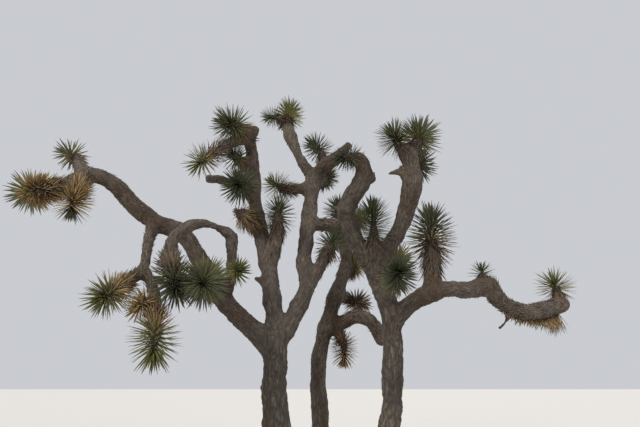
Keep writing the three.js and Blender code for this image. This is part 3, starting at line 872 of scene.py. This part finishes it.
# Bends and tints are a mean and a deviation, and roots are shares of the limb's radius
CROWN_COUNT = 0.85  # share of its leaves that the shortest crown bears
CROWN_PACKING = 1.15  # above 1, leaves crowd towards the tip
CROWN_OPENING = 0.58  # below 1, they spread soon after it
FIRST_LEAF = 0.015  # past the tip
YOUNG_LOSS = 0.38  # how much shorter the first leaf is
YOUNG_SHARE = 0.2  # share of the crown with shorter leaves
LIVE_TILT = 0.07
LIVE_ROOT = 0.6
LIVE_WIDTH = 0.021
LIVE_WIDTHS = (0.8, 1.15)
FULL_REACH = 0.25  # where leaves have their full width
LEAST_WIDTH = 0.55
LIVE_BEND = (-0.02, 0.035)
OLDER = 0.7  # age at which a live leaf takes the next tint
AGE_STRAY = 0.13
WITHER_STRAY = 0.08
WITHERED_STRAY = 0.4


def add_rosette(leaves, skirts, limb):
    """Live leaves by the rule of the solids, in a golden spiral from the tip down the crown."""
    random = limb.random
    crown, reach = limb.leaves["crown"], limb.leaves["reach"]
    count = int(limb.leaves["live"] * LIVE_SPRAY * (CROWN_COUNT + crown) * limb.leaves["full"])
    i = np.arange(count)
    share = i / (count - 1)
    distance = limb.length + FIRST_LEAF - crown * share**CROWN_PACKING
    turn = random.uniform(0, 2 * math.pi)
    point, outward, tangent = limb.around(distance, turn + i * GOLDEN_ANGLE)
    lines = spread_lines(tangent, outward, CROWN_SPREAD * share**CROWN_OPENING)
    lines = tilted(lines, tangent, outward, random, LIVE_TILT)
    roots = point + outward * (LIVE_ROOT * limb.radius(distance))[:, None]
    lengths = reach * random.uniform(*LEAF_LENGTHS, count) * limb.leaves["blunt"]
    lengths *= 1 - YOUNG_LOSS * np.clip(1 - share / YOUNG_SHARE, 0, 1)
    widths = LIVE_WIDTH * random.uniform(*LIVE_WIDTHS, count) * mix(LEAST_WIDTH, 1, reach / FULL_REACH)
    bends = random.normal(*LIVE_BEND, count)
    age = share + random.normal(0, AGE_STRAY, count)
    parts = (roots, lines, tangent, lengths, widths, bends)
    withered = share + random.normal(0, WITHER_STRAY, count) > limb.leaves["fresh"]
    live_tints = limb.leaves["tint"] + (age > OLDER)
    leaves.add(*(part[~withered] for part in parts), live_tints[~withered])
    tints = nearest_tint(limb.leaves["aged"] + random.normal(0, WITHERED_STRAY, count))
    skirts.add(*(part[withered] for part in parts), tints[withered])


SKIRT_TOP = 0.85  # where a skirt starts, as a share of its crown's length
SHORT_SKIRT = 0.08
LOWEST_LEAF = 0.1  # share of the limb's length
SKIRT_OPENING = 0.6
SKIRT_STRAY = 9  # degrees
SKIRT_LOSS = 0.3  # how much shorter its last leaves are
SKIRT_WEAR = 0.9  # how much greyer they are
WEAR_STRAY = 0.45
DEAD_TILT = 0.1
DEAD_ROOT = 0.75
DEAD_LENGTHS = (0.62, 0.98)  # shares of the reach
DEAD_WIDTH = 0.015
DEAD_WIDTHS = (0.75, 1.2)
DEAD_BEND = (0.05, 0.08)


def add_skirt(leaves, limb):
    """Dead leaves below the crown, pointing out and back down the limb."""
    random = limb.random
    crown, reach, skirt = limb.leaves["crown"], limb.leaves["reach"], limb.leaves["skirt"]
    count = int(limb.leaves["dead"] * DEAD_SPRAY * limb.leaves["skirted"])
    if count == 0:
        return
    share = (np.arange(count) + 0.5) / count
    distance = limb.length - crown * SKIRT_TOP - max(skirt, SHORT_SKIRT) * share
    distance = np.maximum(distance, LOWEST_LEAF * limb.length)
    turn = random.uniform(0, 2 * math.pi)
    point, outward, tangent = limb.around(distance, turn + np.arange(count) * GOLDEN_ANGLE)
    degrees = mix(*SKIRT_SPREAD, share**SKIRT_OPENING) + random.normal(0, SKIRT_STRAY, count)
    lines = spread_lines(tangent, outward, degrees)
    drop = DROOP * random.uniform(0, 1, count)[:, None] * UP
    lines = unit(tilted(lines, tangent, outward, random, DEAD_TILT) - drop)
    roots = point + outward * (DEAD_ROOT * limb.radius(distance))[:, None]
    lengths = reach * random.uniform(*DEAD_LENGTHS, count) * (1 - SKIRT_LOSS * share)
    widths = DEAD_WIDTH * random.uniform(*DEAD_WIDTHS, count)
    bends = random.normal(*DEAD_BEND, count)
    worn = limb.leaves["aged"] + share * SKIRT_WEAR + random.normal(0, WEAR_STRAY, count)
    leaves.add(roots, lines, tangent, lengths, widths, bends, nearest_tint(worn))


FRINGE_PACKING = 0.5  # below 1, leaves crowd towards the bough's tip
FRINGE_GROWTH = 4  # the higher, the later they lengthen
FRINGE_LENGTHS = (0.6, 1.1)
FRINGE_WIDTHS = (0.7, 1.1)
FRINGE_BEND = (0, 0.08)
FRINGE_RAKES = (-0.44, 0.06)  # lean along the bough
FRINGE_ROOTS = (-0.6, 0.5)
FRINGE_TINT = (1.1, 0.7)


def add_fringe(leaves, limb):
    """Dead leaves that hang under a bough."""
    random = limb.random
    count = limb.leaves["hanging"] * FRINGE_SPRAY
    share = ((np.arange(count) + 0.5) / count) ** FRINGE_PACKING
    point, tangent, _, _ = limb.at(share * limb.length)
    side = unit(np.cross(tangent, UP))
    degrees = np.radians(FRINGE_SPREAD * random.uniform(-1, 1, count))[:, None]
    lines = -UP * np.cos(degrees) + side * np.sin(degrees)
    lines = unit(lines + tangent * random.uniform(*FRINGE_RAKES, count)[:, None])
    roots = point + lines * (random.uniform(*FRINGE_ROOTS, count) * limb.radii[0])[:, None]
    lengths = limb.leaves["reach"] * mix(FRINGE_START, 1, share**FRINGE_GROWTH)
    lengths *= random.uniform(*FRINGE_LENGTHS, count)
    widths = DEAD_WIDTH * random.uniform(*FRINGE_WIDTHS, count)
    bends = random.normal(*FRINGE_BEND, count)
    tints = nearest_tint(random.normal(*FRINGE_TINT, count))
    leaves.add(roots, lines, tangent, lengths, widths, bends, tints)


LIMB_ROOM = 0.2  # margin round a limb's line
HIDDEN_DEPTH = 0.012


def inside_another(points, owner, limbs):
    inside = np.zeros(len(points), dtype=bool)
    for limb in limbs:
        if limb is not owner:
            chosen = near_box(points, limb, LIMB_ROOM)
            gap = limb_places(points[chosen], limb)[1]
            inside[chosen] |= gap < -HIDDEN_DEPTH
    return inside


THATCH_AREA = 0.0011  # of limb that each leaf covers
THATCH_LOWEST = 0.35  # height above the ground
THATCH_SUNK = 0.012
THATCH_SPREAD = (162, 178)
THATCH_TURN = 0.4  # radians
THATCH_DROOP = 0.06
THATCH_LENGTHS = (0.05, 0.13)
THATCH_WIDTH = 0.013
THATCH_WIDTHS = (0.7, 1.3)
THATCH_BEND = (-0.02, 0.05)
THATCH_PATCH = 0.15  # spacing of the patches of one tint
THATCH_CONTRAST = 2.6
THATCH_TINT = (1.25, 0.65)
FIRST_THATCH = 0.3  # share of the leaves and of their length where a bough starts


def add_thatch(leaves, limb, limbs):
    """Short dead leaves that lie back along the limb and hide its bark."""
    random = limb.random
    share = limb.leaves.get("thatch", 1)
    if share == 0:
        return
    area = 2 * math.pi * limb.radius(np.array(limb.length / 2)) * limb.length
    count = int(area / THATCH_AREA)
    distance = limb.length * (np.arange(count) + random.uniform(0, 1, count)) / count
    if share < 1:
        kept = random.uniform(0, 1, count) < share * np.clip(distance / OLD_LENGTH, FIRST_THATCH, 1)
        distance = distance[kept]
        count = len(distance)
    angle = np.arange(count) * GOLDEN_ANGLE + random.normal(0, THATCH_TURN, count)
    point, outward, tangent = limb.around(distance, angle)
    on_skin = point + outward * limb.radius(distance)[:, None]
    lumps = np.array([lumps_at(Vector(place)) for place in on_skin])
    roots = on_skin + outward * (lumps - THATCH_SUNK)[:, None]
    lines = spread_lines(tangent, outward, random.uniform(*THATCH_SPREAD, count))
    lines = unit(tilted(lines, tangent, outward, random, DEAD_TILT) - THATCH_DROOP * UP)
    lengths = random.uniform(*THATCH_LENGTHS, count)
    if share < 1:
        lengths *= np.clip(mix(FIRST_THATCH, 1, distance / limb.length), 0, 1) * (1 + share) / 2
    widths = THATCH_WIDTH * random.uniform(*THATCH_WIDTHS, count)
    bends = random.normal(*THATCH_BEND, count)
    patches = np.array([noise.noise(Vector(root) / THATCH_PATCH) for root in roots])
    worn = limb.leaves.get("pale", 0) + THATCH_CONTRAST * patches + random.normal(*THATCH_TINT, count)
    tints = nearest_tint(worn)
    kept = ~inside_another(roots, limb, limbs) & (roots[:, 2] > THATCH_LOWEST)
    parts = (roots, lines, outward, lengths, widths, bends, tints)
    leaves.add(*(part[kept] for part in parts))


# Materials


class Nodes:
    """A material's nodes, each linked by its inputs' names or numbers."""

    def __init__(self, name, roughness):
        self.material = bpy.data.materials.new(name)
        self.material.use_nodes = True
        self.tree = self.material.node_tree
        self.shader = self.tree.nodes["Principled BSDF"].inputs
        self.shader["Roughness"].default_value = roughness

    def node(self, kind, settings=None, **inputs):
        made = self.tree.nodes.new("ShaderNode" + kind)
        for key, value in (settings or {}).items():
            setattr(made, key, value)
        for key, value in inputs.items():
            self.put(made.inputs[int(key[1:]) if key[0] == "i" and key[1:].isdigit() else key], value)
        return made

    def put(self, socket, value):
        if isinstance(value, bpy.types.NodeSocket):
            self.tree.links.new(value, socket)
        else:
            socket.default_value = value

    def stored(self, name, output="Fac"):
        """What the mesh keeps under a name."""
        return self.node("Attribute", {"attribute_name": name}).outputs[output]

    def ramp(self, factor, *stops):
        """A colour for each place from 0 to 1."""
        made = self.node("ValToRGB", i0=factor)
        elements = made.color_ramp.elements
        while len(elements) < len(stops):
            elements.new(0.5)
        for element, (place, colour) in zip(elements, stops):
            element.position = place
            element.color = (*colour, 1)
        return made.outputs["Color"]

    def blend(self, factor, low, high, kind="MIX"):
        made = self.node("Mix", {"data_type": "RGBA", "blend_type": kind}, i0=factor)
        self.put(made.inputs[6], low)
        self.put(made.inputs[7], high)
        return made.outputs[2]


# Bark colours, from furrow to plate, where the furrows' dark is painted shade on top of the relief's own
# shadow, from dark to light fibre, and from stained to bleached
PLATE_COLOURS_AND_FURROW_SHADE = (0.0, (0.02, 0.017, 0.014)), (0.4, (0.082, 0.07, 0.059)), (1.0, (0.19, 0.168, 0.145))
FIBRE_COLOURS = (0.3, (0.03, 0.024, 0.019)), (0.5, (0.118, 0.096, 0.076)), (0.74, (0.26, 0.215, 0.17))
STAIN_COLOURS = (0.36, (0.68, 0.53, 0.42)), (0.5, (0.92, 0.9, 0.88)), (0.66, (1.25, 1.18, 1.08))
PLATED = 0.72  # share of old bark's colour that its plates give
# How strongly painted shade darkens the bark's cracks
PAINTED_CRACK_SHADE = 0.6
SPECK_STRENGTH = 0.7


def grain_textures(bark, place):
    """Fibres and cracks drawn out along the third direction of a place."""
    stretched = bark.node("Mapping", Vector=place, Scale=(1, 1, 0.16)).outputs[0]
    fibre = bark.node("TexNoise", Vector=stretched, Scale=75, Detail=6, Roughness=0.7)
    cracks = bark.node("TexVoronoi", {"feature": "DISTANCE_TO_EDGE"}, Vector=stretched, Scale=58)
    return fibre.outputs["Fac"], cracks.outputs["Distance"]


def bark_material():
    bark = Nodes("furrowed_bark", roughness=0.95)
    grain = bark.stored("grain", "Vector")
    relief = bark.stored("relief")
    age = bark.stored("age")
    seam = bark.stored("seam")
    upright = bark.node("TexCoord").outputs["Object"]
    along_fibre, along_cracks = grain_textures(bark, grain)
    upright_fibre, upright_cracks = grain_textures(bark, upright)
    fibre = bark.node("Mix", i0=seam, i2=along_fibre, i3=upright_fibre).outputs[0]
    cracks = bark.node("Mix", i0=seam, i2=along_cracks, i3=upright_cracks).outputs[0]
    speckle = bark.node("TexNoise", Scale=70, Detail=5, Roughness=0.7).outputs["Fac"]
    patches = bark.node("TexNoise", Scale=4.5, Detail=5, Roughness=0.65).outputs["Fac"]
    # Darkest down in the furrows, as painted shade, and paler up on the plates
    plate_tone_and_furrow_shade = bark.ramp(relief, *PLATE_COLOURS_AND_FURROW_SHADE)
    fibres = bark.ramp(fibre, *FIBRE_COLOURS)
    plated = bark.node("Math", {"operation": "MULTIPLY"}, i0=age, i1=PLATED).outputs[0]
    colour = bark.blend(plated, fibres, plate_tone_and_furrow_shade)
    stain = bark.ramp(patches, *STAIN_COLOURS)
    colour = bark.blend(1.0, colour, stain, "MULTIPLY")
    # Darker along the cracks that the bump sinks: painted shade
    painted_crack_shade = bark.ramp(cracks, (0.0, (0.3, 0.28, 0.26)), (0.09, (1.0, 1.0, 1.0)))
    colour = bark.blend(PAINTED_CRACK_SHADE, colour, painted_crack_shade, "MULTIPLY")
    specks = bark.ramp(speckle, (0.35, (0.65, 0.62, 0.6)), (0.65, (1.2, 1.2, 1.2)))
    colour = bark.blend(SPECK_STRENGTH, colour, specks, "MULTIPLY")
    bark.put(bark.shader["Base Color"], colour)
    height = bark.node("Math", {"operation": "MULTIPLY_ADD"}, i0=cracks, i1=1.2, i2=fibre).outputs[0]
    bump = bark.node("Bump", Strength=0.8, Distance=0.012, Height=height).outputs["Normal"]
    bark.put(bark.shader["Normal"], bump)
    return bark.material


DARKEST = 0.72  # shares of a leaf's own colour
LIGHTEST = 1.28


def leaf_material(name, colour, roughness):
    """A plain colour, a little lighter and darker from place to place."""
    leaf = Nodes(name, roughness)
    patches = leaf.node("TexNoise", Scale=14, Detail=3).outputs["Fac"]
    dark = tuple(DARKEST * channel for channel in colour)
    light = tuple(LIGHTEST * channel for channel in colour)
    leaf.put(leaf.shader["Base Color"], leaf.ramp(patches, (0.35, dark), (0.65, light)))
    grain = leaf.node("TexNoise", Scale=400, Detail=2).outputs["Fac"]
    bump = leaf.node("Bump", Strength=0.2, Height=grain).outputs["Normal"]
    leaf.put(leaf.shader["Normal"], bump)
    return leaf.material


LIVE_COLOURS = {
    "deep_green": (0.054, 0.06, 0.023),
    "grey_green": (0.092, 0.098, 0.043),
    "olive": (0.132, 0.13, 0.034),
    "yellow_green": (0.205, 0.182, 0.05),
}
SKIRT_COLOURS = {
    "golden": (0.38, 0.265, 0.105),
    "tan": (0.25, 0.165, 0.075),
    "brown": (0.14, 0.085, 0.045),
    "grey": (0.13, 0.105, 0.078),
}
THATCH_COLOURS = {
    "thatch_dark": (0.06, 0.045, 0.034),
    "thatch_brown": (0.11, 0.078, 0.052),
    "thatch_tan": (0.2, 0.142, 0.088),
    "thatch_grey": (0.17, 0.15, 0.125),
}
POINT_COLOUR = (0.085, 0.035, 0.018)


def materials_of(colours, roughness):
    return [leaf_material(name, colour, roughness) for name, colour in colours.items()]


BARK = bark_material()
LIVE = materials_of(LIVE_COLOURS, 0.62) + [leaf_material("leaf_point", POINT_COLOUR, 0.6)]
SKIRT = materials_of(SKIRT_COLOURS, 0.8)
THATCH = materials_of(THATCH_COLOURS, 0.9)


# The three stems of the clump, each with all that grows on it


def names_of(limbs, *kinds):
    return [limb.name for limb in limbs if limb.kind in kinds]


def finish_piece(obj, nodes):
    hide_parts(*nodes)
    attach(obj, ROOT)


def build_skin(title, limbs):
    grown = [limb for limb in limbs if limb.kind != "fringe"]
    skin = joined_tubes(title + "_skin", grown)
    unite(skin)
    add_relief(skin, grown)
    thin_out(skin)
    cut_at_ground(skin)
    skin.data.materials.clear()
    skin.data.materials.append(BARK)
    skin.data.shade_smooth()
    finish_piece(skin, names_of(limbs, "stem", "bough", "head"))


def build_leaves(title, limbs):
    rosettes = Daggers(*LONG_LEAF)
    skirts = Daggers(*SHORT_LEAF)
    thatch = Daggers(*SHORT_LEAF)
    grown = [limb for limb in limbs if limb.kind not in ("fringe", "stub")]
    for limb in limbs:
        if limb.kind == "fringe":
            add_fringe(skirts, limb)
        if limb.kind == "head":
            add_rosette(skirts if limb.leaves["dry"] else rosettes, skirts, limb)
            add_skirt(skirts, limb)
        if limb in grown:
            add_thatch(thatch, limb, grown)
    heads = names_of(limbs, "head")
    live = [name for name in heads if not LIMBS[name].leaves["dry"]]
    green = rosettes.make(title + "_rosettes", LIVE, point_slot=len(LIVE_COLOURS))
    finish_piece(green, live)
    fringes = names_of(limbs, "fringe")
    finish_piece(skirts.make(title + "_skirts", SKIRT), heads + fringes)
    finish_piece(thatch.make(title + "_thatch", THATCH), names_of(limbs, "bough"))


for trunk, title in (("left_stem", "left"), ("right_stem", "right"), ("back_stem", "back")):
    grown_on = [limb for limb in LIMBS.values() if limb.trunk == trunk]
    build_skin(title, grown_on)
    build_leaves(title, grown_on)


# Stage: a plain pale floor, soft light and the photograph's viewpoint
FLOOR = 40  # half of its width


def make_floor():
    corners = [(-FLOOR, -FLOOR, 0), (FLOOR, -FLOOR, 0), (FLOOR, FLOOR, 0), (-FLOOR, FLOOR, 0)]
    obj = mesh_object("floor", corners, [(0, 1, 2, 3)])
    floor = Nodes("pale_floor", roughness=0.9)
    floor.shader["Base Color"].default_value = (0.62, 0.6, 0.57, 1)
    obj.data.materials.append(floor.material)


def make_light(name, direction, softness, strength, colour):
    """A sun of a soft width in degrees, which shines in a direction."""
    light = bpy.data.lights.new(name, "SUN")
    light.angle = math.radians(softness)
    light.energy = strength
    light.color = colour
    new_object(name, light).rotation_euler = Vector(direction).to_track_quat("-Z", "Y").to_euler()


def make_world():
    world = bpy.data.worlds.new("studio")
    world.use_nodes = True
    background = world.node_tree.nodes["Background"]
    background.inputs["Color"].default_value = (0.78, 0.8, 0.84, 1)
    background.inputs["Strength"].default_value = 0.75
    bpy.context.scene.world = world


def make_camera():
    camera = bpy.data.cameras.new("camera")
    camera.lens = CAMERA_LENS
    camera.clip_end = 200
    obj = new_object("camera", camera)
    obj.location = CAMERA_PLACE
    obj.rotation_euler = (math.radians(90 + CAMERA_TILT), 0, 0)
    bpy.context.scene.camera = obj


make_floor()
make_world()
make_light("key", (6, 8, -7), 25, 1.9, (1.0, 0.97, 0.93))
make_light("fill", (-8, 5, -4), 50, 0.6, (0.95, 0.97, 1.0))
make_light("rim", (-3, -9, -8), 25, 1.3, (1.0, 0.97, 0.92))
make_camera()
bpy.context.scene.view_settings.view_transform = "Standard"
